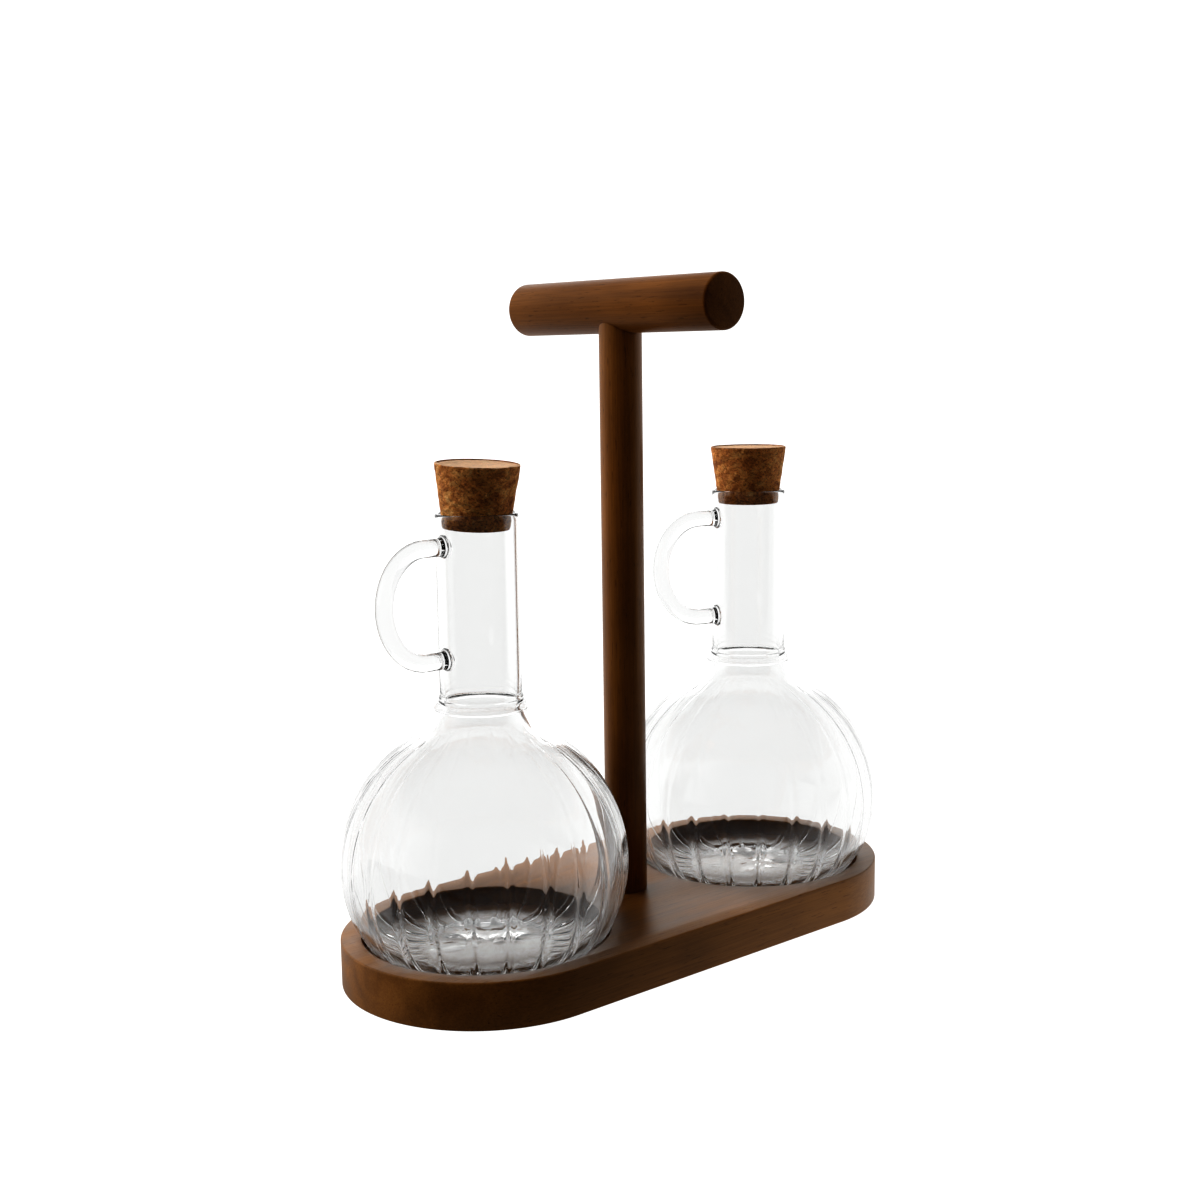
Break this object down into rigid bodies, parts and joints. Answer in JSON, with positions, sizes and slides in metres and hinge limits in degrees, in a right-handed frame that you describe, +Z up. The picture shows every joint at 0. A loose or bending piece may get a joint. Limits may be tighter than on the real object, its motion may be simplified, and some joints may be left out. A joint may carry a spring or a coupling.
{
  "type": "oil and vinegar cruet set",
  "caption": "Two globe-shaped ribbed glass bottles with rod handles and cork stoppers, in a dark wooden caddy with round pockets and a T-shaped carrying handle.",
  "frame": {"origin": "middle of the base's underside, on the post's axis", "axes": "+X along the base, from the left bottle to the right one; +Y along the handle bar; +Z up"},
  "size_m": [0.24, 0.11, 0.25],
  "materials": {
    "walnut_base": "dark walnut stain under a thin satin oil, fine straight grain",
    "walnut_post": "dark walnut stain, satin, grain along the post",
    "walnut_bar": "dark walnut stain, satin, grain along the bar, darker end grain",
    "beech_dowel": "bare beech",
    "zinc_plated_screw": "zinc plated",
    "clear_glass": "clear, colourless, polished",
    "pressed_cork": "pressed cork granules, matt, mottled brown"
  },
  "bodies": {
    "caddy": {"caddy_base": "walnut_base", "caddy_post": "walnut_post", "caddy_bar": "walnut_bar", "bar_dowel": "beech_dowel", "post_screw": "zinc_plated_screw"},
    "left_bottle": {"bottle_left": "clear_glass"},
    "right_bottle": {"bottle_right": "clear_glass"},
    "left_stopper": {"cork_left": "pressed_cork"},
    "right_stopper": {"cork_right": "pressed_cork"}
  },
  "joints": [
    {"name": "bottle_left_lift", "type": "slide", "parent": "caddy", "child": "left_bottle", "axis": [0, 0, 1], "range_m": [0, 0.12]},
    {"name": "bottle_right_lift", "type": "slide", "parent": "caddy", "child": "right_bottle", "axis": [0, 0, 1], "range_m": [0, 0.12]},
    {"name": "cork_left_pull", "type": "slide", "parent": "left_bottle", "child": "left_stopper", "axis": [0, 0, 1], "range_m": [0, 0.03]},
    {"name": "cork_right_pull", "type": "slide", "parent": "right_bottle", "child": "right_stopper", "axis": [0, 0, 1], "range_m": [0, 0.03]}
  ]
}
